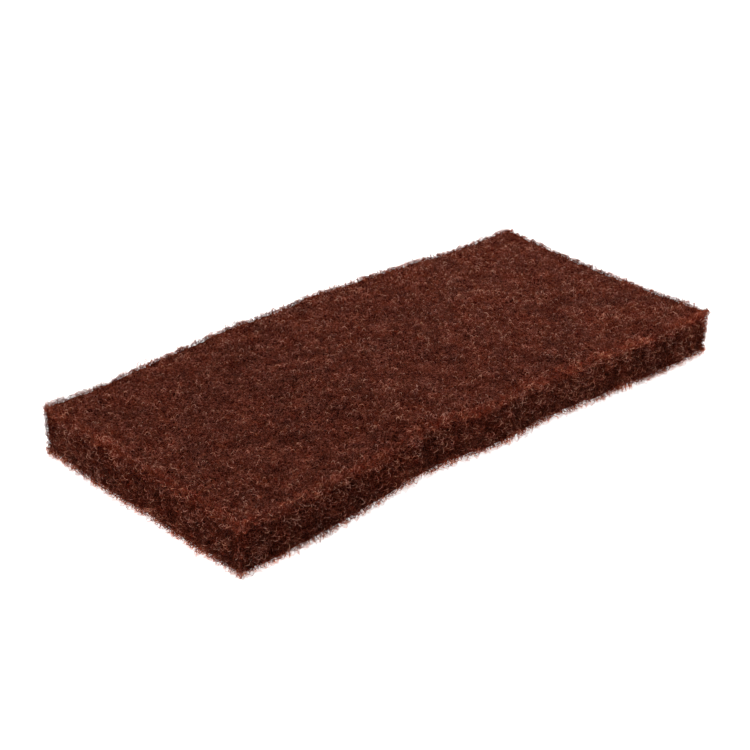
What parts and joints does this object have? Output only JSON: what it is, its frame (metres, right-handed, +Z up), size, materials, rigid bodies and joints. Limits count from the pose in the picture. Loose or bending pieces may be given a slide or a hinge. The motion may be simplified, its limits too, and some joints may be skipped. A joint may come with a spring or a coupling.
{
  "type": "scouring pad",
  "caption": "Rectangular hand scouring pad of springy nylon web, with soft cut edges, lying in a low arch on both ends.",
  "frame": {"origin": "middle of the pad in plan, on the level of the two flat ends it rests on", "axes": "+X along the pad's length, towards the end where its top sags; +Y across its width, away from the side with the buckle; +Z up, through its thickness"},
  "size_m": [0.2512, 0.116, 0.0274],
  "materials": {
    "web": "rough, open web of dark reddish-brown nylon fibres"
  },
  "bodies": {
    "root": {"scouring_pad": "web"}
  },
  "joints": []
}
